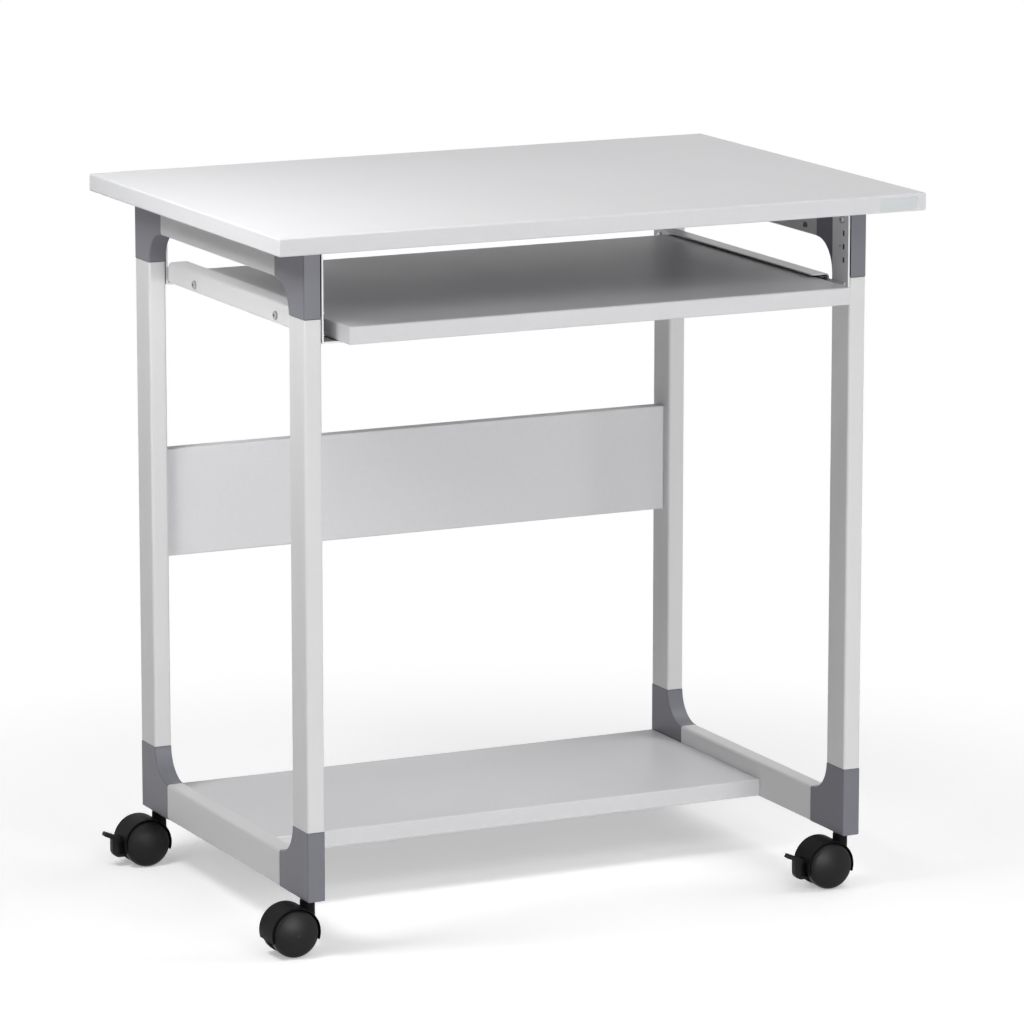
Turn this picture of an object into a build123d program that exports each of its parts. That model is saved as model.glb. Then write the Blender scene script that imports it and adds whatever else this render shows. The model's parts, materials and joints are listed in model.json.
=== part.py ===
from build123d import *
import math
import os

# A computer desk on casters with a sliding keyboard tray.
# Millimetres. X runs along the front, Y from the user to the back, Z up from the floor.
# The origin is on the floor under the middle of the desktop.

# Boards
DESK_WIDTH = 750.0
DESK_DEPTH = 520.0
DESK_HEIGHT = 770.0
BOARD = 19.0
BOARD_ROUND = 2.0
TRAY_FRONT_Y = -247.0
TRAY_REAR_Y = 168.0
TRAY_BOTTOM_Z = 653.0
SHELF_FRONT_Y = -22.0
SHELF_REAR_Y = 243.0
SHELF_LIFT = 2.0
PANEL_THICK = 16.0
PANEL_BOTTOM_Z = 346.0
PANEL_HEIGHT = 120.0
PANEL_ROUND = 1.5

# Side frames: rectangular tube between moulded corner connectors
FRAME_OUTER_X = 328.0
FRAME_FRONT_Y = -214.0
FRAME_REAR_Y = 246.0
FRAME_BOTTOM_Z = 60.0
TUBE_THIN = 20.0
TUBE_WIDE = 40.0
TUBE_WALL = 1.2
TUBE_ROUND = 3.0
CONNECTOR_SIZE = 75.0
CONNECTOR_ROUND = 1.6
CONNECTOR_SEAM = 0.9
SPIGOT_LENGTH = 30.0
SPIGOT_GAP = 0.2
RAIL_SLOT_LENGTH = 12.0
RAIL_SLOT_WIDTH = 6.0
RAIL_SLOT_DROP = 31.0
RAIL_SLOT_Y = (-113.0, 145.0)
ACCESS_RADIUS = 6.0

# Tray hangers: slotted strips, with a rebate and pockets behind them in the upper connectors
HANGER_THICK = 2.0
HANGER_WIDTH = 35.0
HANGER_BOTTOM_Z = 650.4
HANGER_FOOT = 24.0
HANGER_SLOT = (4.0, 6.7)
HANGER_SLOT_PITCH = 14.5
HANGER_SLOT_DROP = 28.0
HANGER_SLOT_INSET = 10.5
HANGER_HOLE_RADIUS = 1.3
HANGER_HOLE_INSET = 18.5
SLOT_POCKET = 8.0
REBATE_DEPTH = 1.5
REBATE_WIDTH = 8.0
REBATE_LIP = 1.5

# Tray rails and ball-bearing slides
RAIL_SHEET = 1.5
RAIL_TOP_Z = 675.5
RAIL_FLANGE = 21.5
RAIL_LIP = 9.0
RAIL_TOP_BEND = 4.0
RAIL_LIP_BEND = 2.2
RAIL_CORNER = 3.0
RAIL_FRONT_Y = -172.0
RAIL_REAR_Y = 203.0
RAIL_TAB = 36.0
RAIL_TAB_Z = (655.0, 670.0)
SLIDE_THICK = 12.7
SLIDE_SHEET = 1.2
SLIDE_FOLD = 1.0
SLIDE_HEIGHT = 17.5
SLIDE_OUTER_Y = (-170.0, 201.0)
SLIDE_INNER_Y = (-185.0, 165.0)
SLIDE_OUTER_FLANGE = 8.0
SLIDE_INNER_FLANGE = 8.5
BALL_RADIUS = 1.2
BALL_SPACE = 3.0
BALL_PITCH = 14.0
BALLS_PER_ROW = 5
CAGE_SHEET = 0.8
CAGE_GAP = 0.7
CAGE_PAST_BALLS = 2.9
CAGE_LENGTH = 70.0
CAGE_MIDDLE_Y = -3.0

# Casters: the stem stands in the lower connector, the wheels trail towards -X
STEM_SETBACK = 25.0
STEM_RADIUS = 4.0
STEM_SOCKET = 40.0
STEM_FOOT_Z = 24.0
STEM_END_GAP = 0.5
COLLAR_RADIUS = 7.5
COLLAR_THICK = 2.0
WHEEL_RADIUS = 26.0
WHEEL_TRAIL = 20.0
WHEEL_INNER = 7.6
WHEEL_OUTER = 24.0
WHEEL_EASE = 1.5
WHEEL_SHOULDER = 7.0
DOME_SLOPE = 20.0
HOOD_RADIUS = 27.9
HOOD_SHELL = 1.3
HOOD_HALF_WIDTH = 17.8
HOOD_CORE = 7.0
HOOD_SKIRT = 8.2
HOOD_ROUND = 0.8
NECK_RADIUS = 8.0
NECK_TOP_Z = 57.5
AXLE_RADIUS = 3.0
AXLE_HALF = 16.0
AXLE_END_GAP = 0.6
PRESS_GAP = 0.02
RUNNING_GAP = 0.05

# Brake lever on two of the casters; places are from the axle, X first, and lengths from the lever's pivot
PEDAL_PIVOT = (-17.0, -1.0)
PEDAL_PIN_RADIUS = 1.5
PEDAL_PIN_HALF = 6.8
PEDAL_HUB_RADIUS = 4.0
PEDAL_HALF = 4.2
PEDAL_GAP = 0.6
PEDAL_TILT = 23.0
PEDAL_REACH = 32.5
PEDAL_THICK = 5.0
PEDAL_LIFT = 1.5
PEDAL_TIP_ROUND = 1.2
PEDAL_BODY_BACK = 20.4
PEDAL_BODY_FRONT = 3.0
PEDAL_BODY_FOOT = 14.1
PEDAL_BODY_ROUND = 9.0
PEDAL_EDGE_ROUND = 0.6
PEDAL_POCKET_X = (-13.0, -5.5)
PEDAL_POCKET_RIB = 3.5
PEDAL_POCKET_DROP = 2.0
PEDAL_POCKET_WEB = 0.8
BRAKE_SLOT_TOP = 8.6
BRAKE_WINDOW_X = -22.5
BRAKE_WINDOW_HALF = 15.5
BRAKE_WINDOW_TOP = 4.2

# Screws: shank radius, length under the head, head radius, head height
DESKTOP_SCREW = (2.0, 15.0, 4.2, 2.6)
HANGER_SCREW = (2.0, 12.0, 4.5, 2.4)
RAIL_BOLT = (2.5, 12.0, 4.6, 2.6)
SLIDE_SCREW = (2.0, RAIL_SHEET + SLIDE_SHEET, 4.6, 2.2)
TRAY_SCREW = (1.5, 15.0, 2.9, 1.4)
PANEL_SCREW = (1.75, 12.0, 3.6, 2.0)
PANEL_LEG_SCREW = (1.75, 8.0, 3.0, 1.6)
SHELF_SCREW = (1.75, 14.0, 3.6, 2.0)
HOLE_GAP = 0.1

# Worked-out places
FRAME_INNER_X = FRAME_OUTER_X - TUBE_THIN
FRAME_TOP_Z = DESK_HEIGHT - BOARD
FRAME_MIDDLE_Y = (FRAME_FRONT_Y + FRAME_REAR_Y) / 2
FRAME_MIDDLE_Z = (FRAME_BOTTOM_Z + FRAME_TOP_Z) / 2
LEG_X = FRAME_OUTER_X - TUBE_THIN / 2
LEG_FRONT_Y = FRAME_FRONT_Y + TUBE_WIDE / 2
LEG_REAR_Y = FRAME_REAR_Y - TUBE_WIDE / 2
LEG_STEP_Y = FRAME_REAR_Y - FRAME_FRONT_Y - TUBE_WIDE
HANGER_X = FRAME_INNER_X - HANGER_THICK
RAIL_X = HANGER_X - RAIL_SHEET
TRAY_HALF = RAIL_X - SLIDE_THICK
TRAY_TOP_Z = TRAY_BOTTOM_Z + BOARD
SHELF_BOTTOM_Z = FRAME_BOTTOM_Z + SHELF_LIFT
SLIDE_BOTTOM_Z = TRAY_BOTTOM_Z + RAIL_SHEET
SLIDE_MIDDLE_Z = SLIDE_BOTTOM_Z + SLIDE_HEIGHT / 2
PANEL_FRONT_Y = LEG_REAR_Y - PANEL_THICK / 2
PANEL_REAR_Y = LEG_REAR_Y + PANEL_THICK / 2
STEM_FRONT_Y = FRAME_FRONT_Y + STEM_SETBACK
STEM_REAR_Y = FRAME_REAR_Y - STEM_SETBACK

# Fastener places and brackets
DESKTOP_SCREW_Y = (-80.0, FRAME_MIDDLE_Y, 112.0)
HANGER_SCREW_Z = FRAME_TOP_Z - 13.0
HANGER_SCREW_INSET = 14.0
TAB_BOLT_Z = 661.0
TAB_BOLT_INSET = 17.5
SLIDE_SCREW_Y = (-90.0, 130.0)
SLIDE_SCREW_Z = 661.5
TRAY_SCREW_Y = (-140.0, -10.0, 120.0)
SHELF_BRACKET_Y = (10.0, 120.0)
SHELF_BRACKET_SIZE = 30.0
SHELF_SCREW_INSET = 20.0
WELD_GAP = 0.05
PANEL_BRACKET_Z = (366.0, 446.0)
PANEL_BRACKET_SHEET = 2.0
PANEL_BRACKET_WIDTH = 26.0
PANEL_SCREW_Z = (386.0, 426.0)
PANEL_SCREW_INSET = 16.0
PANEL_LEG_SCREW_INSET = 3.5

# Cutters start a little outside the face they cut
OVER = 1.0
WALL_REACH = 5.0

SIDES = {"left": -1, "right": 1}
ENDS = {"front": 0, "rear": 1}
BRAKED_CORNERS = ("front_right", "rear_left")
OUT = "parts"


def save(name, shape):
    """Write one sub-part to its own file."""
    export_step(shape, os.path.join(OUT, name + ".step"))


def block(x, y, z):
    """Box between two limits on each axis."""
    size = [abs(b - a) for a, b in (x, y, z)]
    centre = [(a + b) / 2 for a, b in (x, y, z)]
    return Pos(*centre) * Box(*size)


def rod(axis, centre, start, stop, radius):
    """Round bar along one axis from start to stop; centre gives the two other coordinates."""
    length = abs(stop - start)
    middle = (start + stop) / 2
    if axis == "X":
        return Pos(middle, centre[0], centre[1]) * Rot(0, 90, 0) * Cylinder(radius, length)
    if axis == "Y":
        return Pos(centre[0], middle, centre[1]) * Rot(90, 0, 0) * Cylinder(radius, length)
    return Pos(centre[0], centre[1], middle) * Cylinder(radius, length)


def hole(axis, centre, start, stop, screw):
    """Clearance hole for a screw's shank."""
    return rod(axis, centre, start, stop, screw[0] + HOLE_GAP)


def on_side(shape, side):
    """Shapes are drawn on the left; the right one is its mirror image."""
    return mirror(shape, about=Plane.YZ) if side > 0 else shape


def board(x, y, z, rounding):
    """Edge-banded board with every arris eased."""
    plain = block(x, y, z)
    return fillet(plain.edges(), rounding)


def tube(length):
    """Rectangular tube along +Z, thin in X and wide in Y, from z = 0."""
    outer = RectangleRounded(TUBE_THIN, TUBE_WIDE, TUBE_ROUND)
    thin, wide = TUBE_THIN - 2 * TUBE_WALL, TUBE_WIDE - 2 * TUBE_WALL
    inner = RectangleRounded(thin, wide, TUBE_ROUND - TUBE_WALL)
    return extrude(outer - inner, length)


def pan_screw(shank_radius, length, head_radius, head_height):
    """Cross-recess pan-head screw along +X: the head's seat is at x = 0, the shank runs to -length."""
    plain = Cylinder(head_radius, head_height)
    dome = fillet(plain.edges().group_by(Axis.Z)[-1], head_height * 0.6)
    head = Pos(head_height / 2, 0, 0) * Rot(0, 90, 0) * dome
    depth = head_height * 0.7
    arm = head_radius * 1.1
    width = head_radius * 0.28
    cross = Box(2 * depth, arm, width) + Box(2 * depth, width, arm)
    shank = Pos(-length / 2, 0, 0) * Rot(0, 90, 0) * Cylinder(shank_radius, length)
    return head - Pos(head_height, 0, 0) * cross + shank


# Boards
def make_desktop():
    half_w, half_d = DESK_WIDTH / 2, DESK_DEPTH / 2
    top = board((-half_w, half_w), (-half_d, half_d), (FRAME_TOP_Z, DESK_HEIGHT), BOARD_ROUND)
    z = (FRAME_TOP_Z - OVER, FRAME_TOP_Z + DESKTOP_SCREW[1])
    for side in SIDES.values():
        for y in DESKTOP_SCREW_Y:
            top -= hole("Z", (side * LEG_X, y), *z, DESKTOP_SCREW)
    return top


def make_tray():
    x, y = (-TRAY_HALF, TRAY_HALF), (TRAY_FRONT_Y, TRAY_REAR_Y)
    tray = board(x, y, (TRAY_BOTTOM_Z, TRAY_TOP_Z), BOARD_ROUND)
    inner = TRAY_HALF - TRAY_SCREW[1]
    for side in SIDES.values():
        for screw_y in TRAY_SCREW_Y:
            place = (screw_y, SLIDE_MIDDLE_Z)
            tray -= hole("X", place, side * (TRAY_HALF + OVER), side * inner, TRAY_SCREW)
    return tray


def make_shelf():
    x, y = (-FRAME_INNER_X, FRAME_INNER_X), (SHELF_FRONT_Y, SHELF_REAR_Y)
    shelf = board(x, y, (SHELF_BOTTOM_Z, SHELF_BOTTOM_Z + BOARD), PANEL_ROUND)
    top = FRAME_BOTTOM_Z + SHELF_SCREW[1] + OVER
    for place in shelf_screw_places():
        shelf -= hole("Z", place, SHELF_BOTTOM_Z - OVER, top, SHELF_SCREW)
    return shelf


def make_panel():
    x, y = (-FRAME_INNER_X, FRAME_INNER_X), (PANEL_FRONT_Y, PANEL_REAR_Y)
    panel = board(x, y, (PANEL_BOTTOM_Z, PANEL_BOTTOM_Z + PANEL_HEIGHT), PANEL_ROUND)
    for side in SIDES.values():
        for z in PANEL_SCREW_Z:
            place = (side * (FRAME_INNER_X - PANEL_SCREW_INSET), z)
            panel -= hole("Y", place, PANEL_REAR_Y + OVER, PANEL_REAR_Y - PANEL_SCREW[1], PANEL_SCREW)
    return panel


def shelf_screw_places():
    inset = FRAME_INNER_X - SHELF_SCREW_INSET
    middle = SHELF_BRACKET_SIZE / 2
    return [(side * inset, y + middle) for side in SIDES.values() for y in SHELF_BRACKET_Y]


# Side frames
def make_leg(end):
    """Leg tube on the left between its two connectors, drilled for the tray rail's bolt."""
    length = FRAME_TOP_Z - FRAME_BOTTOM_Z - 2 * CONNECTOR_SIZE
    y = LEG_FRONT_Y + end * LEG_STEP_Y
    leg = Pos(-LEG_X, y, FRAME_BOTTOM_Z + CONNECTOR_SIZE) * tube(length)
    wall = (-FRAME_INNER_X - WALL_REACH, -FRAME_INNER_X + OVER)
    leg -= hole("X", (tab_bolt_y(end), TAB_BOLT_Z), *wall, RAIL_BOLT)
    if end:
        for z in PANEL_SCREW_Z:
            leg -= hole("X", (panel_leg_screw_y(), z), *wall, PANEL_LEG_SCREW)
    return leg


def rail_tube(bottom_z):
    """Tube lying front to back on the left, its wide face upright."""
    length = FRAME_REAR_Y - FRAME_FRONT_Y - 2 * CONNECTOR_SIZE
    lying = Rot(-90, 0, 0) * tube(length)
    return Pos(-LEG_X, FRAME_FRONT_Y + CONNECTOR_SIZE, bottom_z + TUBE_WIDE / 2) * lying


def make_top_rail():
    """Screws hold the desktop from inside the tube; a slot near each end locks the connector's spigot."""
    bottom_z = FRAME_TOP_Z - TUBE_WIDE
    rail = rail_tube(bottom_z)
    for y in DESKTOP_SCREW_Y:
        rail -= hole("Z", (-LEG_X, y), FRAME_TOP_Z - WALL_REACH, FRAME_TOP_Z + OVER, DESKTOP_SCREW)
        rail -= rod("Z", (-LEG_X, y), bottom_z - OVER, bottom_z + WALL_REACH, ACCESS_RADIUS)
    outline = Plane.YZ * SlotOverall(RAIL_SLOT_LENGTH, RAIL_SLOT_WIDTH)
    slot = extrude(outline, WALL_REACH + OVER)
    for y in RAIL_SLOT_Y:
        rail -= Pos(-FRAME_INNER_X - WALL_REACH, y, FRAME_TOP_Z - RAIL_SLOT_DROP) * slot
    return rail


def make_bottom_rail():
    return rail_tube(FRAME_BOTTOM_Z)


def connector_body():
    """Corner piece with arms along +Y and +Z from its outer corner at y = z = 0; x runs from 0."""
    size, arm = CONNECTOR_SIZE, TUBE_WIDE
    near = 0.01

    def at_shoulder(edge):
        return max(edge.center().Y, edge.center().Z) > size - near

    def on_side_face(edge):
        return not near < edge.center().X < TUBE_THIN - near

    def at_corner(edge):
        return max(edge.center().Y, edge.center().Z) < near

    middle = size - (size - arm) * math.sqrt(0.5)
    outline = Polyline((size, arm), (size, 0), (0, 0), (0, size), (arm, size))
    outline += ThreePointArc((arm, size), (middle, middle), (size, arm))
    solid = extrude(Plane.YZ * make_face(outline), TUBE_THIN)
    solid = fillet(solid.edges().filter_by(at_corner), CONNECTOR_ROUND)
    sides = [e for e in solid.edges() if on_side_face(e) and not at_shoulder(e)]
    solid = fillet(sides, CONNECTOR_ROUND)
    solid = chamfer(solid.edges().filter_by(at_shoulder), CONNECTOR_SEAM)
    inset = 2 * (TUBE_WALL + SPIGOT_GAP)
    section = RectangleRounded(TUBE_THIN - inset, TUBE_WIDE - inset, TUBE_ROUND - TUBE_WALL)
    spigot = extrude(section, SPIGOT_LENGTH)
    solid += Pos(TUBE_THIN / 2, arm / 2, size) * spigot
    solid += Pos(TUBE_THIN / 2, size, arm / 2) * Rot(-90, 0, 0) * spigot
    return solid


def make_connector(end, top):
    """Connector on the left frame; lower ones take a caster stem, upper ones carry a tray hanger."""
    solid = Pos(-FRAME_OUTER_X, FRAME_FRONT_Y, FRAME_BOTTOM_Z) * connector_body()
    if end:
        solid = mirror(solid, about=Plane.XZ.offset(-FRAME_MIDDLE_Y))
    if not top:
        stem_y = STEM_REAR_Y if end else STEM_FRONT_Y
        socket = (FRAME_BOTTOM_Z - OVER, FRAME_BOTTOM_Z + STEM_SOCKET)
        return solid - rod("Z", (-LEG_X, stem_y), *socket, STEM_RADIUS + PRESS_GAP)
    solid = mirror(solid, about=Plane.XY.offset(FRAME_MIDDLE_Z))
    inside = -FRAME_INNER_X + OVER
    solid -= hole("X", (hanger_screw_y(end), HANGER_SCREW_Z), inside, inside - HANGER_SCREW[1], HANGER_SCREW)
    solid -= hole("X", (tab_bolt_y(end), TAB_BOLT_Z), inside, inside - RAIL_BOLT[1], RAIL_BOLT)
    for cutter in hanger_openings(end, -FRAME_INNER_X - SLOT_POCKET, inside):
        solid -= cutter
    edge_y = (FRAME_REAR_Y - REBATE_WIDTH, FRAME_REAR_Y + OVER)
    if not end:
        edge_y = (FRAME_FRONT_Y - OVER, FRAME_FRONT_Y + REBATE_WIDTH)
    edge_z = (FRAME_TOP_Z - CONNECTOR_SIZE + REBATE_LIP, FRAME_TOP_Z + OVER)
    return solid - block((-FRAME_INNER_X - REBATE_DEPTH, inside), edge_y, edge_z)


# Tray hangers, rails and slides, drawn on the left
def hanger_front_y(end):
    return FRAME_FRONT_Y + end * LEG_STEP_Y


def hanger_screw_y(end):
    return hanger_front_y(end) + HANGER_SCREW_INSET


def tab_bolt_y(end):
    return hanger_front_y(end) + TAB_BOLT_INSET


def panel_leg_screw_y():
    return PANEL_REAR_Y + PANEL_BRACKET_SHEET + PANEL_LEG_SCREW_INSET


def hanger_openings(end, start, stop):
    """Cutters for a hanger's three slots and its small hole, between two places along X."""
    front = hanger_front_y(end)
    width, height = HANGER_SLOT
    outline = Plane.YZ * Rot(0, 0, 90) * SlotOverall(height, width)
    slot = Pos(start, front + HANGER_SLOT_INSET, 0) * extrude(outline, stop - start)
    middle_z = FRAME_TOP_Z - HANGER_SLOT_DROP - HANGER_SLOT_PITCH
    cutters = [Pos(0, 0, middle_z + i * HANGER_SLOT_PITCH) * slot for i in (-1, 0, 1)]
    cutters.append(rod("X", (front + HANGER_HOLE_INSET, middle_z), start, stop, HANGER_HOLE_RADIUS))
    return cutters


def make_hanger(end):
    """Slotted strip on the leg's inner face, its foot turned in under the tray rail and the tray's edge."""
    front = hanger_front_y(end)
    y = (front, front + HANGER_WIDTH)
    strip = block((-FRAME_INNER_X, -HANGER_X), y, (HANGER_BOTTOM_Z, FRAME_TOP_Z))
    foot_x = (-FRAME_INNER_X, -FRAME_INNER_X + HANGER_FOOT)
    strip += block(foot_x, y, (HANGER_BOTTOM_Z, HANGER_BOTTOM_Z + HANGER_THICK))
    fold = strip.edges().filter_by(Axis.Y).sort_by(lambda e: e.center().X + e.center().Z)[0]
    strip = fillet(fold, HANGER_THICK)
    through = (-FRAME_INNER_X - OVER, -HANGER_X + OVER)
    for cutter in hanger_openings(end, *through):
        strip -= cutter
    strip -= hole("X", (hanger_screw_y(end), HANGER_SCREW_Z), *through, HANGER_SCREW)
    strip -= hole("X", (tab_bolt_y(end), TAB_BOLT_Z), *through, RAIL_BOLT)
    return strip


def make_tray_rail():
    """Folded sheet: upright web, upper flange over the tray's edge, short lower lip, a tab at each end."""
    x0, x1 = -HANGER_X, -RAIL_X
    z0, z1 = TRAY_BOTTOM_Z, RAIL_TOP_Z
    under_flange, over_lip = z1 - RAIL_SHEET, z0 + RAIL_SHEET
    lip_x, flange_x = x0 + RAIL_LIP, x0 + RAIL_FLANGE
    outline = Polyline(
        (x0, z0), (lip_x, z0), (lip_x, over_lip), (x1, over_lip),
        (x1, under_flange), (flange_x, under_flange), (flange_x, z1), (x0, z1), close=True,
    )
    face = Plane.XZ * make_face(outline)
    rail = Pos(0, RAIL_REAR_Y, 0) * extrude(face, RAIL_REAR_Y - RAIL_FRONT_Y)
    bends = (
        ((x0, z1), RAIL_TOP_BEND), ((x1, under_flange), RAIL_TOP_BEND - RAIL_SHEET),
        ((x0, z0), RAIL_LIP_BEND), ((x1, over_lip), RAIL_LIP_BEND - RAIL_SHEET),
    )
    for (x, z), radius in bends:
        along = rail.edges().filter_by(Axis.Y)
        edge = along.sort_by(lambda e: (e.center().X - x) ** 2 + (e.center().Z - z) ** 2)[0]
        rail = fillet(edge, radius)
    corners = [e for e in rail.edges().filter_by(Axis.Z) if e.center().X > flange_x - 0.01]
    rail = fillet(corners, RAIL_CORNER)
    for start, stop in ((RAIL_FRONT_Y - RAIL_TAB, RAIL_FRONT_Y), (RAIL_REAR_Y, RAIL_REAR_Y + RAIL_TAB)):
        rail += block((x0, x1), (start, stop), RAIL_TAB_Z)
    for y in SLIDE_SCREW_Y:
        rail -= hole("X", (y, SLIDE_SCREW_Z), x0 - OVER, x1 + OVER, SLIDE_SCREW)
    for end in ENDS.values():
        rail -= hole("X", (tab_bolt_y(end), TAB_BOLT_Z), x0 - OVER, x1 + OVER, RAIL_BOLT)
    return rail


def channel(web_x, sheet, tip_x, z, y):
    """U-shaped sheet profile along Y: the web starts at web_x and both flanges reach tip_x."""
    step = math.copysign(sheet, tip_x - web_x)
    shape = block((web_x, web_x + step), y, z)
    shape += block((web_x, tip_x), y, (z[0], z[0] + sheet))
    shape += block((web_x, tip_x), y, (z[1] - sheet, z[1]))
    return shape


def make_slide_outer():
    z = (SLIDE_BOTTOM_Z, SLIDE_BOTTOM_Z + SLIDE_HEIGHT)
    shape = channel(-RAIL_X, SLIDE_SHEET, -RAIL_X + SLIDE_OUTER_FLANGE, z, SLIDE_OUTER_Y)
    folds = [e for e in shape.edges().filter_by(Axis.Y) if e.center().X < -RAIL_X + 0.01]
    shape = fillet(folds, SLIDE_FOLD)
    through = (-RAIL_X - OVER, -RAIL_X + SLIDE_SHEET + OVER)
    for y in SLIDE_SCREW_Y:
        shape -= hole("X", (y, SLIDE_SCREW_Z), *through, SLIDE_SCREW)
    return shape


def make_slide_inner():
    inset = SLIDE_SHEET + BALL_SPACE
    z = (SLIDE_BOTTOM_Z + inset, SLIDE_BOTTOM_Z + SLIDE_HEIGHT - inset)
    shape = channel(-TRAY_HALF, SLIDE_SHEET, -TRAY_HALF - SLIDE_INNER_FLANGE, z, SLIDE_INNER_Y)
    through = (-TRAY_HALF - SLIDE_SHEET - OVER, -TRAY_HALF + OVER)
    for y in TRAY_SCREW_Y:
        shape -= hole("X", (y, SLIDE_MIDDLE_Z), *through, TRAY_SCREW)
    return shape


def make_ball_cage():
    """Ball retainer that runs between the two slide members, with its balls."""
    row_z = SLIDE_HEIGHT / 2 - SLIDE_SHEET - BALL_SPACE / 2
    half_sheet = CAGE_SHEET / 2
    z = (SLIDE_MIDDLE_Z - row_z - half_sheet, SLIDE_MIDDLE_Z + row_z + half_sheet)
    y = (CAGE_MIDDLE_Y - CAGE_LENGTH / 2, CAGE_MIDDLE_Y + CAGE_LENGTH / 2)
    web_x = -TRAY_HALF - SLIDE_INNER_FLANGE - CAGE_GAP - CAGE_SHEET
    ball_x = -(RAIL_X - SLIDE_OUTER_FLANGE + TRAY_HALF + SLIDE_INNER_FLANGE) / 2
    cage = channel(web_x, CAGE_SHEET, ball_x + CAGE_PAST_BALLS, z, y)
    balls = []
    for i in range(BALLS_PER_ROW):
        ball_y = CAGE_MIDDLE_Y + (i - (BALLS_PER_ROW - 1) / 2) * BALL_PITCH
        for ball_z in (SLIDE_MIDDLE_Z - row_z, SLIDE_MIDDLE_Z + row_z):
            seat = (ball_z - CAGE_SHEET, ball_z + CAGE_SHEET)
            cage -= rod("Z", (ball_x, ball_y), *seat, BALL_RADIUS + HOLE_GAP)
            balls.append(Pos(ball_x, ball_y, ball_z) * Sphere(BALL_RADIUS))
    return [cage] + balls


# Brackets and fasteners
def make_shelf_brackets():
    """Lugs welded to the lower rails' inner faces, under the shelf."""
    grown = RectangleRounded(TUBE_THIN + 2 * WELD_GAP, TUBE_WIDE + 2 * WELD_GAP, TUBE_ROUND)
    lying = Rot(-90, 0, 0) * extrude(grown, FRAME_REAR_Y - FRAME_FRONT_Y)
    rail = Pos(-LEG_X, FRAME_FRONT_Y, FRAME_BOTTOM_Z + TUBE_WIDE / 2) * lying
    x = (-FRAME_INNER_X - TUBE_ROUND, -FRAME_INNER_X + SHELF_BRACKET_SIZE)
    lugs = []
    for y in SHELF_BRACKET_Y:
        lug = block(x, (y, y + SHELF_BRACKET_SIZE), (FRAME_BOTTOM_Z, SHELF_BOTTOM_Z)) - rail
        place = (-FRAME_INNER_X + SHELF_SCREW_INSET, y + SHELF_BRACKET_SIZE / 2)
        lug -= hole("Z", place, FRAME_BOTTOM_Z - OVER, SHELF_BOTTOM_Z + OVER, SHELF_SCREW)
        lugs.append(lug)
    return [on_side(lug, side) for lug in lugs for side in SIDES.values()]


def make_panel_brackets():
    """Angles behind the panel, one flange on the panel and one on the rear leg."""
    sheet = PANEL_BRACKET_SHEET
    x0, y0 = -FRAME_INNER_X, PANEL_REAR_Y
    angle = block((x0, x0 + PANEL_BRACKET_WIDTH), (y0, y0 + sheet), PANEL_BRACKET_Z)
    angle += block((x0, x0 + sheet), (y0, FRAME_REAR_Y - TUBE_ROUND), PANEL_BRACKET_Z)
    for z in PANEL_SCREW_Z:
        angle -= hole("Y", (x0 + PANEL_SCREW_INSET, z), y0 - OVER, y0 + sheet + OVER, PANEL_SCREW)
        angle -= hole("X", (panel_leg_screw_y(), z), x0 - OVER, x0 + sheet + OVER, PANEL_LEG_SCREW)
    return [on_side(angle, side) for side in SIDES.values()]


def on_both_sides(shapes):
    """Shapes drawn on the left, with their mirror images on the right."""
    return [on_side(shape, side) for side in SIDES.values() for shape in shapes]


def make_desktop_screws():
    screw = Rot(0, 90, 0) * pan_screw(*DESKTOP_SCREW)
    seat = FRAME_TOP_Z - TUBE_WALL
    return on_both_sides([Pos(-LEG_X, y, seat) * screw for y in DESKTOP_SCREW_Y])


def make_hanger_screws():
    screw = pan_screw(*HANGER_SCREW)
    places = [(hanger_screw_y(end), HANGER_SCREW_Z) for end in ENDS.values()]
    return on_both_sides([Pos(-HANGER_X, y, z) * screw for y, z in places])


def make_rail_bolts():
    bolt = pan_screw(*RAIL_BOLT)
    return on_both_sides([Pos(-RAIL_X, tab_bolt_y(end), TAB_BOLT_Z) * bolt for end in ENDS.values()])


def make_slide_screws():
    screw = Rot(0, 0, 180) * pan_screw(*SLIDE_SCREW)
    return on_both_sides([Pos(-HANGER_X, y, SLIDE_SCREW_Z) * screw for y in SLIDE_SCREW_Y])


def make_tray_screws():
    screw = Rot(0, 0, 180) * pan_screw(*TRAY_SCREW)
    seat = -TRAY_HALF - SLIDE_SHEET
    return on_both_sides([Pos(seat, y, SLIDE_MIDDLE_Z) * screw for y in TRAY_SCREW_Y])


def make_panel_screws():
    """Each angle is screwed to the panel from behind and to the leg from inside."""
    into_panel = Rot(0, 0, 90) * pan_screw(*PANEL_SCREW)
    into_leg = pan_screw(*PANEL_LEG_SCREW)
    panel_place = (-FRAME_INNER_X + PANEL_SCREW_INSET, PANEL_REAR_Y + PANEL_BRACKET_SHEET)
    leg_place = (-FRAME_INNER_X + PANEL_BRACKET_SHEET, panel_leg_screw_y())
    left = []
    for z in PANEL_SCREW_Z:
        left.append(Pos(*panel_place, z) * into_panel)
        left.append(Pos(*leg_place, z) * into_leg)
    return on_both_sides(left)


def make_shelf_screws():
    screw = Rot(0, 90, 0) * pan_screw(*SHELF_SCREW)
    return [Pos(x, y, FRAME_BOTTOM_Z) * screw for x, y in shelf_screw_places()]


# Casters, drawn with the stem's axis at x = 0, y = 0
def caster_hub(shape):
    """Move a shape drawn around the wheels' axle to its place behind the stem."""
    return Pos(-WHEEL_TRAIL, 0, WHEEL_RADIUS) * shape


def make_stem():
    stem = rod("Z", (0, 0), STEM_FOOT_Z, FRAME_BOTTOM_Z + STEM_SOCKET - OVER, STEM_RADIUS)
    collar = rod("Z", (0, 0), FRAME_BOTTOM_Z - COLLAR_THICK, FRAME_BOTTOM_Z, COLLAR_RADIUS)
    return stem + collar


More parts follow.
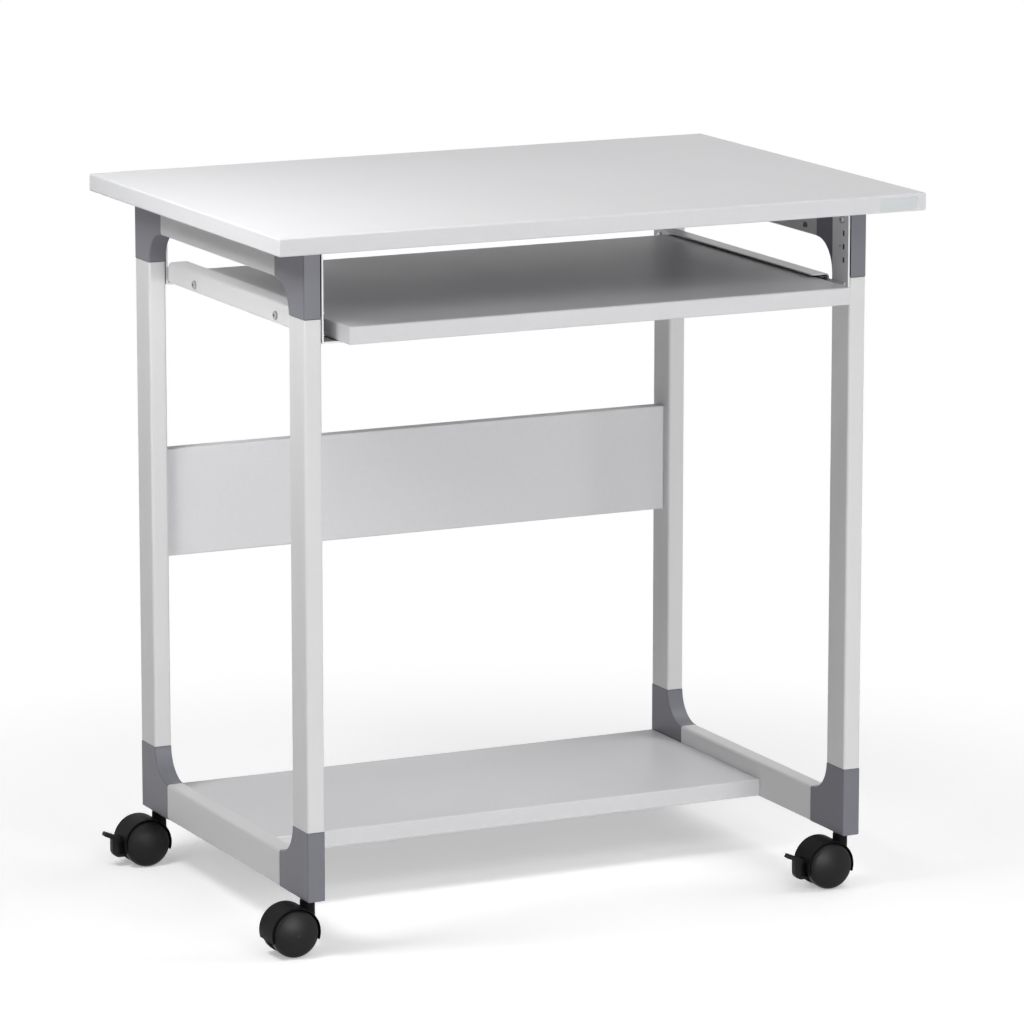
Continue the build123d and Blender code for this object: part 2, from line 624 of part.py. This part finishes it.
def make_hood(braked):
    """Guard over both wheels with a core between them and the neck that turns on the stem."""
    shell = rod("Y", (0, 0), -HOOD_HALF_WIDTH, HOOD_HALF_WIDTH, HOOD_RADIUS)
    shell = fillet(shell.edges().filter_by(GeomType.CIRCLE), HOOD_ROUND)
    neck = rod("Z", (WHEEL_TRAIL, 0), 0, NECK_TOP_Z - WHEEL_RADIUS, NECK_RADIUS)
    neck = fillet(neck.edges().filter_by(GeomType.CIRCLE).sort_by(Axis.Z)[-1], HOOD_ROUND)
    body = shell + neck
    for way in (-1, 1):
        outside = way * (HOOD_HALF_WIDTH + OVER)
        body -= rod("Y", (0, 0), way * HOOD_CORE, outside, HOOD_RADIUS - HOOD_SHELL)
    far = 2 * HOOD_RADIUS
    body -= block((-far, far), (-far, far), (-far, -HOOD_SKIRT))
    bore = (STEM_FOOT_Z - WHEEL_RADIUS - STEM_END_GAP, far)
    body -= rod("Z", (WHEEL_TRAIL, 0), *bore, STEM_RADIUS + RUNNING_GAP)
    across = (-HOOD_CORE - OVER, HOOD_CORE + OVER)
    body -= rod("Y", (0, 0), *across, AXLE_RADIUS + PRESS_GAP)
    if braked:
        window_y = (-BRAKE_WINDOW_HALF, BRAKE_WINDOW_HALF)
        body -= block((-far, BRAKE_WINDOW_X), window_y, (-far, BRAKE_WINDOW_TOP))
        slot_half = PEDAL_HALF + PEDAL_GAP
        slot_end = PEDAL_PIVOT[0] + PEDAL_HUB_RADIUS + PEDAL_GAP
        body -= block((-far, slot_end), (-slot_half, slot_half), (-far, BRAKE_SLOT_TOP))
        body -= rod("Y", PEDAL_PIVOT, *across, PEDAL_PIN_RADIUS + RUNNING_GAP)
    return caster_hub(body)


def make_axle():
    return caster_hub(rod("Y", (0, 0), -AXLE_HALF, AXLE_HALF, AXLE_RADIUS))


def make_wheel(end):
    """Wheel with a rounded shoulder and a domed face; front (-Y) or rear (+Y) of its caster."""
    rim, shoulder = WHEEL_RADIUS, WHEEL_SHOULDER
    slope = math.radians(DOME_SLOPE)
    face_edge = rim - shoulder + shoulder * math.sin(slope)
    dome = face_edge / math.sin(slope)
    dome_centre = WHEEL_OUTER - dome
    face_start = dome_centre + dome * math.cos(slope)
    tread_end = face_start - shoulder * math.cos(slope)
    turn = (math.pi / 2 - slope) / 2
    on_shoulder = (rim - shoulder + shoulder * math.cos(turn), tread_end + shoulder * math.sin(turn))
    on_dome = (dome * math.sin(slope / 2), dome_centre + dome * math.cos(slope / 2))
    bore, bore_end = AXLE_RADIUS + RUNNING_GAP, AXLE_HALF + AXLE_END_GAP
    inner, ease = WHEEL_INNER, WHEEL_EASE
    outline = Polyline((bore, inner), (rim - ease, inner), (rim, inner + ease), (rim, tread_end))
    outline += ThreePointArc((rim, tread_end), on_shoulder, (face_edge, face_start))
    outline += ThreePointArc((face_edge, face_start), on_dome, (0, WHEEL_OUTER))
    outline += Polyline((0, WHEEL_OUTER), (0, bore_end), (bore, bore_end), (bore, inner))
    wheel = revolve(make_face(outline), Axis.Y)
    if not end:
        wheel = mirror(wheel, about=Plane.XZ)
    return caster_hub(wheel)


def make_pedal():
    """Brake lever between the wheels: a tab to step on, a body with pocketed sides and a pin in the hood."""
    back, foot = PEDAL_BODY_BACK, PEDAL_BODY_FOOT
    across = (-PEDAL_HALF, PEDAL_HALF)
    rise = math.tan(math.radians(PEDAL_TILT))
    under_tab = back * rise
    outline = Polyline((0, 0), (-PEDAL_BODY_FRONT, -foot), (-back, -foot), (-back, under_tab), close=True)
    body = extrude(Plane.XZ * make_face(outline), PEDAL_HALF, both=True)
    heel = body.edges().filter_by(Axis.Y).sort_by(lambda e: e.center().X + e.center().Z)[0]
    body = fillet(heel, PEDAL_BODY_ROUND)
    tab = block((-PEDAL_REACH, 0), across, (PEDAL_LIFT - PEDAL_THICK / 2, PEDAL_LIFT + PEDAL_THICK / 2))
    tab = fillet(tab.edges().group_by(Axis.X)[0].filter_by(Axis.Y), PEDAL_TIP_ROUND)
    lever = body + Rot(0, PEDAL_TILT, 0) * tab + rod("Y", (0, 0), *across, PEDAL_HUB_RADIUS)
    side_edges = [e for e in lever.edges() if abs(e.center().Y) > PEDAL_HALF - 0.01]
    lever = fillet(side_edges, PEDAL_EDGE_ROUND)
    low = PEDAL_POCKET_RIB - foot
    back_x, front_x = PEDAL_POCKET_X
    back_top, front_top = (-x * rise - PEDAL_POCKET_DROP for x in PEDAL_POCKET_X)
    pocket = Polyline((back_x, low), (front_x, low), (front_x, front_top), (back_x, back_top), close=True)
    cutter = extrude(Plane.XZ * make_face(pocket), PEDAL_HALF + OVER, both=True)
    web = block((-back, 0), (-PEDAL_POCKET_WEB, PEDAL_POCKET_WEB), (-foot, under_tab))
    lever -= cutter - web
    lever += rod("Y", (0, 0), -PEDAL_PIN_HALF, PEDAL_PIN_HALF, PEDAL_PIN_RADIUS)
    return caster_hub(Pos(PEDAL_PIVOT[0], 0, PEDAL_PIVOT[1]) * lever)


def save_frames():
    """Both side frames with their tray rails and slides."""
    for side_name, side in SIDES.items():
        save("top_rail_" + side_name, on_side(make_top_rail(), side))
        save("bottom_rail_" + side_name, on_side(make_bottom_rail(), side))
        save("tray_rail_" + side_name, on_side(make_tray_rail(), side))
        save("slide_outer_" + side_name, on_side(make_slide_outer(), side))
        save("slide_inner_" + side_name, on_side(make_slide_inner(), side))
        cage = [on_side(piece, side) for piece in make_ball_cage()]
        save("ball_cage_" + side_name, Compound(children=cage))
        for end_name, end in ENDS.items():
            corner = end_name + "_" + side_name
            save("leg_" + corner, on_side(make_leg(end), side))
            save("tray_hanger_" + corner, on_side(make_hanger(end), side))
            save("top_connector_" + corner, on_side(make_connector(end, True), side))
            save("bottom_connector_" + corner, on_side(make_connector(end, False), side))


def save_casters():
    """Four casters, two of them with a brake lever; their stems share one file."""
    stems = []
    for side_name, side in SIDES.items():
        for end_name, end in ENDS.items():
            corner = end_name + "_" + side_name
            at_stem = Pos(side * LEG_X, STEM_REAR_Y if end else STEM_FRONT_Y, 0)
            braked = corner in BRAKED_CORNERS
            stems.append(at_stem * make_stem())
            save("caster_hood_" + corner, at_stem * make_hood(braked))
            save("caster_axle_" + corner, at_stem * make_axle())
            save("wheel_near_" + corner, at_stem * make_wheel(0))
            save("wheel_far_" + corner, at_stem * make_wheel(1))
            if braked:
                save("brake_pedal_" + corner, at_stem * make_pedal())
    save("caster_stems", Compound(children=stems))


def main():
    os.makedirs(OUT, exist_ok=True)
    save("desktop", make_desktop())
    save("keyboard_tray", make_tray())
    save("bottom_shelf", make_shelf())
    save("modesty_panel", make_panel())
    save_frames()
    save_casters()
    groups = {
        "shelf_brackets": make_shelf_brackets(),
        "panel_brackets": make_panel_brackets(),
        "desktop_screws": make_desktop_screws(),
        "hanger_screws": make_hanger_screws(),
        "rail_bolts": make_rail_bolts(),
        "slide_screws": make_slide_screws(),
        "tray_screws": make_tray_screws(),
        "panel_screws": make_panel_screws(),
        "shelf_screws": make_shelf_screws(),
    }
    for name, pieces in groups.items():
        save(name, Compound(children=pieces))


main()
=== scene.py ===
import json
import math

import bpy
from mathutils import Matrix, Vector


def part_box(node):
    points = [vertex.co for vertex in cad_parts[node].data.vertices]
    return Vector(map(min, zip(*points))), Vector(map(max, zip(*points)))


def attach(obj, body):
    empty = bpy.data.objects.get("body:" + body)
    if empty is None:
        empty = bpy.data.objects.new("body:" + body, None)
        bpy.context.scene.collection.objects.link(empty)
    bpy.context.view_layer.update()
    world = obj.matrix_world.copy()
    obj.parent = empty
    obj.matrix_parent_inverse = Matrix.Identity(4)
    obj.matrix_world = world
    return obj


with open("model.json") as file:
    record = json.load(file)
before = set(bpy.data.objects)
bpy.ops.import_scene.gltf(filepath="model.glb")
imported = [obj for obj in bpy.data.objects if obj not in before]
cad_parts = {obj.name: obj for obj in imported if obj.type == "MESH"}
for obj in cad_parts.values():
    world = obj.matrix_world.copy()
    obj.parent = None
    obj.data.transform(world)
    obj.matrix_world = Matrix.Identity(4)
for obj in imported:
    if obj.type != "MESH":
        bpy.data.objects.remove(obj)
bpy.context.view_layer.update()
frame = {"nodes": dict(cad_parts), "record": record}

MM = 0.001


# Materials
NOISE_RANGE = (0.3, 0.7)
FINE_DETAIL = 3.0
BROAD_SCALE = 6.0
BROAD_DETAIL = 2.0
RELIEF_HEIGHT = 0.0002
# Painted shade in narrow gaps: occlusion rays, and the share of the colour left in the deepest gap
PAINTED_SHADE_SAMPLES = 24
PAINTED_SHADE_DARKNESS = 0.06
EVEN = (1.0, 1.0, 1.0)


class Shader:
    """A procedural material: nodes are added and joined by name."""

    def __init__(self, name):
        self.material = bpy.data.materials.new(name)
        self.material.use_nodes = True
        self.tree = self.material.node_tree
        self.surface = self.tree.nodes["Principled BSDF"]
        self.output = self.tree.nodes["Material Output"]
        self.coords = self.add("ShaderNodeTexCoord").outputs["Object"]

    def add(self, kind, **values):
        node = self.tree.nodes.new(kind)
        for key, value in values.items():
            setattr(node, key, value)
        return node

    def join(self, start, end):
        self.tree.links.new(start, end)

    def noise(self, scale, detail=FINE_DETAIL, stretch=EVEN):
        """Noise over the object's own coordinates, stretched along the axes with small numbers."""
        mapping = self.add("ShaderNodeMapping")
        mapping.inputs["Scale"].default_value = stretch
        self.join(self.coords, mapping.inputs["Vector"])
        node = self.add("ShaderNodeTexNoise")
        node.inputs["Scale"].default_value = scale
        node.inputs["Detail"].default_value = detail
        self.join(mapping.outputs["Vector"], node.inputs["Vector"])
        return node.outputs["Fac"]

    def ranged(self, source, low, high):
        """The middle range of a source's values, remapped to a range of plain numbers."""
        node = self.add("ShaderNodeMapRange")
        node.inputs["From Min"].default_value = NOISE_RANGE[0]
        node.inputs["From Max"].default_value = NOISE_RANGE[1]
        node.inputs["To Min"].default_value = low
        node.inputs["To Max"].default_value = high
        self.join(source, node.inputs["Value"])
        return node.outputs["Result"]

    def tint(self, source, colour, spread, painted_shade_reach=0.0):
        """Base colour that wanders by a small share around one colour.

        With a reach in metres, it paints shade into the colour in narrow gaps, seams and slots.
        """
        mix = self.add("ShaderNodeMix", data_type="RGBA")
        mix.inputs["A"].default_value = [c * (1 - spread) for c in colour] + [1.0]
        mix.inputs["B"].default_value = [c * (1 + spread) for c in colour] + [1.0]
        self.join(self.ranged(source, 0.0, 1.0), mix.inputs["Factor"])
        result = mix.outputs["Result"]
        # Painted shade: ambient occlusion darkens the base colour in gaps, seams and slots
        if painted_shade_reach:
            gap = self.add("ShaderNodeAmbientOcclusion", samples=PAINTED_SHADE_SAMPLES)
            gap.inputs["Distance"].default_value = painted_shade_reach
            shade = self.add("ShaderNodeMix", data_type="RGBA")
            shade.inputs["A"].default_value = [c * PAINTED_SHADE_DARKNESS for c in colour] + [1.0]
            self.join(self.ranged(gap.outputs["AO"], 0.0, 1.0), shade.inputs["Factor"])
            self.join(result, shade.inputs["B"])
            result = shade.outputs["Result"]
        self.join(result, self.surface.inputs["Base Color"])

    def bump(self, source, strength, distance):
        node = self.add("ShaderNodeBump")
        node.inputs["Strength"].default_value = strength
        node.inputs["Distance"].default_value = distance
        self.join(source, node.inputs["Height"])
        self.join(node.outputs["Normal"], self.surface.inputs["Normal"])


def finish_material(
    name, colour, rough, spread, grain, relief, gloss, metallic=0.0, stretch=EVEN, painted_shade_reach=0.0
):
    """Satin surface with a fine grain: colour, roughness and relief all come from noise; the colour can
    carry painted shade in narrow gaps.
    """
    shader = Shader(name)
    fine = shader.noise(grain, FINE_DETAIL, stretch)
    broad = shader.noise(BROAD_SCALE, BROAD_DETAIL)
    shader.tint(fine, colour, spread, painted_shade_reach)
    shader.join(shader.ranged(broad, rough[0], rough[1]), shader.surface.inputs["Roughness"])
    shader.surface.inputs["Metallic"].default_value = metallic
    shader.surface.inputs["Specular IOR Level"].default_value = gloss
    shader.bump(fine, relief, RELIEF_HEIGHT)
    return shader.material


# A reach in metres paints shade into the colour in narrow gaps of sheet paint, connectors and screws
FINISHES = {
    "laminate": dict(
        colour=(0.66, 0.66, 0.672), rough=(0.36, 0.42), spread=0.015, grain=420.0, relief=0.03, gloss=0.06,
    ),
    "tube_paint": dict(
        colour=(0.66, 0.66, 0.664), rough=(0.36, 0.42), spread=0.012, grain=900.0, relief=0.06, gloss=0.25,
    ),
    "sheet_paint": dict(
        colour=(0.77, 0.77, 0.775), rough=(0.28, 0.34), spread=0.012, grain=900.0, relief=0.04, gloss=0.3,
        painted_shade_reach=12 * MM,
    ),
    "connector": dict(
        colour=(0.168, 0.168, 0.194), rough=(0.36, 0.44), spread=0.05, grain=1100.0, relief=0.08, gloss=0.3,
        painted_shade_reach=4 * MM,
    ),
    # Slide steel: a dark grey steel tone, set this dark partly as painted shade for the gap beside the tray
    # where the slides sit
    "slide_steel": dict(
        colour=(0.30, 0.30, 0.31), rough=(0.28, 0.36), spread=0.06, grain=300.0, relief=0.05, gloss=0.5,
        metallic=1.0, stretch=(1.0, 0.03, 1.0),
    ),
    "screw_steel": dict(
        colour=(0.52, 0.52, 0.53), rough=(0.34, 0.42), spread=0.05, grain=700.0, relief=0.04, gloss=0.5,
        metallic=1.0, painted_shade_reach=3 * MM,
    ),
    "stem_steel": dict(
        colour=(0.10, 0.10, 0.105), rough=(0.35, 0.45), spread=0.05, grain=700.0, relief=0.04, gloss=0.5,
        metallic=1.0,
    ),
    "hood_plastic": dict(
        colour=(0.0055, 0.0055, 0.006), rough=(0.46, 0.54), spread=0.10, grain=1300.0, relief=0.12,
        gloss=0.06,
    ),
    "wheel_plastic": dict(
        colour=(0.0065, 0.0065, 0.0075), rough=(0.36, 0.42), spread=0.10, grain=1300.0, relief=0.05,
        gloss=0.2,
    ),
    "pedal_plastic": dict(
        colour=(0.009, 0.009, 0.010), rough=(0.42, 0.50), spread=0.10, grain=1300.0, relief=0.10,
        gloss=0.15,
    ),
    "plate": dict(
        colour=(0.56, 0.58, 0.59), rough=(0.22, 0.30), spread=0.02, grain=500.0, relief=0.03, gloss=0.5,
        metallic=0.25,
    ),
}
MATERIALS = {name: finish_material(name, **values) for name, values in FINISHES.items()}

for entry in frame["record"]["subparts"]:
    node = frame["nodes"][entry["node"]]
    node.data.materials.clear()
    node.data.materials.append(MATERIALS[entry["material_slot"]])


# Blank plate on the desktop's front edge, near its right end, in millimetres
PLATE_X = (319.7, 363.7)
PLATE_Z = (752.8, 766.6)
PLATE_THICK = 0.3
PLATE_CORNER = 1.0
ARC_STEPS = 6


def rounded_plate(name, x, z, y, thick, corner):
    """Thin plate with rounded corners standing on a face that looks towards -Y."""
    outline = []
    for cx, cz, start in ((x[1], z[1], 0), (x[0], z[1], 90), (x[0], z[0], 180), (x[1], z[0], 270)):
        inset_x = cx - math.copysign(corner, cx - sum(x) / 2)
        inset_z = cz - math.copysign(corner, cz - sum(z) / 2)
        for i in range(ARC_STEPS + 1):
            angle = math.radians(start + 90 * i / ARC_STEPS)
            outline.append((inset_x + corner * math.cos(angle), inset_z + corner * math.sin(angle)))
    count = len(outline)
    back = [(px, y, pz) for px, pz in outline]
    front = [(px, y - thick, pz) for px, pz in outline]
    faces = [tuple(range(count)), tuple(range(2 * count - 1, count - 1, -1))]
    for i in range(count):
        j = (i + 1) % count
        faces.append((i, i + count, j + count, j))
    mesh = bpy.data.meshes.new(name)
    mesh.from_pydata([(a * MM, b * MM, c * MM) for a, b, c in back + front], [], faces)
    mesh.update()
    piece = bpy.data.objects.new(name, mesh)
    bpy.context.collection.objects.link(piece)
    return piece


desk_low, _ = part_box("desktop")
plate = rounded_plate("blank_plate", PLATE_X, PLATE_Z, desk_low[1] / MM, PLATE_THICK, PLATE_CORNER)
plate.data.materials.append(MATERIALS["plate"])
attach(plate, "frame")


# Floor and background
FLOOR_SIZE = 60.0
FLOOR_COLOUR = (0.90, 0.90, 0.905)
FLOOR_SPREAD = 0.004
FLOOR_GRAIN = 40.0
FLOOR_ROUGHNESS = 0.8
FLOOR_LIFT = 0.33
SHADOW_REACH = 0.45
WHITE_REACH = 1.1
WORLD_LIGHT = 0.08


def seen_directly(tree):
    """1 for the camera and for reflections or views through something, 0 for lighting."""
    path = tree.nodes.new("ShaderNodeLightPath")
    either = path.outputs["Is Camera Ray"]
    for name in ("Is Glossy Ray", "Is Transmission Ray"):
        largest = tree.nodes.new("ShaderNodeMath")
        largest.operation = "MAXIMUM"
        tree.links.new(either, largest.inputs[0])
        tree.links.new(path.outputs[name], largest.inputs[1])
        either = largest.outputs[0]
    return either


def white_ground(name, lift, near, far):
    """Pale ground with the shadows round the object, which turns into the white background farther off."""
    shader = Shader(name)
    shader.tint(shader.noise(FLOOR_GRAIN), FLOOR_COLOUR, FLOOR_SPREAD)
    shader.surface.inputs["Roughness"].default_value = FLOOR_ROUGHNESS
    shader.surface.inputs["Specular IOR Level"].default_value = 0.0
    seen = seen_directly(shader.tree)
    lifted = shader.add("ShaderNodeMath", operation="MULTIPLY")
    lifted.inputs[1].default_value = lift
    shader.join(seen, lifted.inputs[0])
    glow = shader.add("ShaderNodeEmission")
    shader.join(lifted.outputs[0], glow.inputs["Strength"])
    close = shader.add("ShaderNodeAddShader")
    shader.join(shader.surface.outputs["BSDF"], close.inputs[0])
    shader.join(glow.outputs["Emission"], close.inputs[1])
    reach = shader.add("ShaderNodeVectorMath", operation="LENGTH")
    shader.join(shader.coords, reach.inputs[0])
    fade = shader.add("ShaderNodeMapRange", interpolation_type="SMOOTHSTEP")
    fade.inputs["From Min"].default_value = near
    fade.inputs["From Max"].default_value = far
    shader.join(reach.outputs["Value"], fade.inputs["Value"])
    share = shader.add("ShaderNodeMath", operation="MULTIPLY")
    shader.join(seen, share.inputs[0])
    shader.join(fade.outputs["Result"], share.inputs[1])
    white = shader.add("ShaderNodeEmission")
    white.inputs["Strength"].default_value = 1.0
    blend = shader.add("ShaderNodeMixShader")
    shader.join(share.outputs[0], blend.inputs["Fac"])
    shader.join(close.outputs["Shader"], blend.inputs[1])
    shader.join(white.outputs["Emission"], blend.inputs[2])
    shader.join(blend.outputs["Shader"], shader.output.inputs["Surface"])
    return shader.material


bpy.ops.mesh.primitive_plane_add(size=FLOOR_SIZE, location=(0, 0, 0))
floor = bpy.context.object
floor.name = "floor"
floor.data.materials.append(white_ground("floor_white", FLOOR_LIFT, SHADOW_REACH, WHITE_REACH))


def white_world(light):
    """White where it is seen, a softer level for lighting."""
    world = bpy.data.worlds.new("studio")
    bpy.context.scene.world = world
    world.use_nodes = True
    tree = world.node_tree
    back = tree.nodes["Background"]
    back.inputs["Color"].default_value = (1, 1, 1, 1)
    level = tree.nodes.new("ShaderNodeMapRange")
    level.inputs["To Min"].default_value = light
    level.inputs["To Max"].default_value = 1.0
    tree.links.new(seen_directly(tree), level.inputs["Value"])
    tree.links.new(level.outputs["Result"], back.inputs["Strength"])


white_world(WORLD_LIGHT)


# Soft studio lamps
MIDDLE = (0.0, 0.0, 0.4)


def lamp(name, place, target, size, power, mirrored=True):
    """Rectangular area lamp at a place, looking at a target.

    One that isn't mirrored stays out of reflections.
    """
    data = bpy.data.lights.new(name, "AREA")
    data.shape = "RECTANGLE"
    data.size, data.size_y = size
    data.energy = power
    piece = bpy.data.objects.new(name, data)
    piece.location = place
    piece.rotation_euler = (Vector(target) - Vector(place)).to_track_quat("-Z", "Y").to_euler()
    piece.visible_glossy = mirrored
    bpy.context.collection.objects.link(piece)


lamp("key", (-0.95, -0.17, 1.33), (-0.1, 0.0, 0.5), (0.4, 0.4), 9.2, mirrored=False)
lamp("left", (-3.2, -2.0, 2.6), MIDDLE, (1.2, 1.2), 12.0)
lamp("front_low", (0.4, -4.5, 0.5), MIDDLE, (2.0, 0.8), 90.0)
lamp("front_high", (0.0, -3.2, 3.0), MIDDLE, (2.5, 1.5), 27.0)
lamp("top", (1.2, 0.0, 2.8), (0.1, 0.0, 0.5), (1.5, 1.5), 20.0)
lamp("right", (2.6, -0.6, 2.6), (0.0, 0.0, 0.3), (1.5, 1.5), 18.0)
lamp("back", (0.4, 4.5, 0.5), MIDDLE, (4.0, 0.8), 50.0, mirrored=False)


# Camera at the photograph's angle
CAMERA_PLACE = (-2.6638, -5.5730, 1.6617)
CAMERA_YAW = 25.636
CAMERA_PITCH = 11.466
FOCAL_PIXELS = 5793.6
PICTURE = 1024.0
SENSOR = 36.0
FARTHEST = 100.0

camera_data = bpy.data.cameras.new("camera")
camera_data.sensor_width = SENSOR
camera_data.lens = SENSOR * FOCAL_PIXELS / PICTURE
camera_data.clip_end = FARTHEST
camera = bpy.data.objects.new("camera", camera_data)
camera.location = CAMERA_PLACE
camera.rotation_euler = (math.radians(90 - CAMERA_PITCH), 0.0, math.radians(-CAMERA_YAW))
bpy.context.collection.objects.link(camera)
bpy.context.scene.camera = camera
bpy.context.scene.view_settings.view_transform = "Standard"
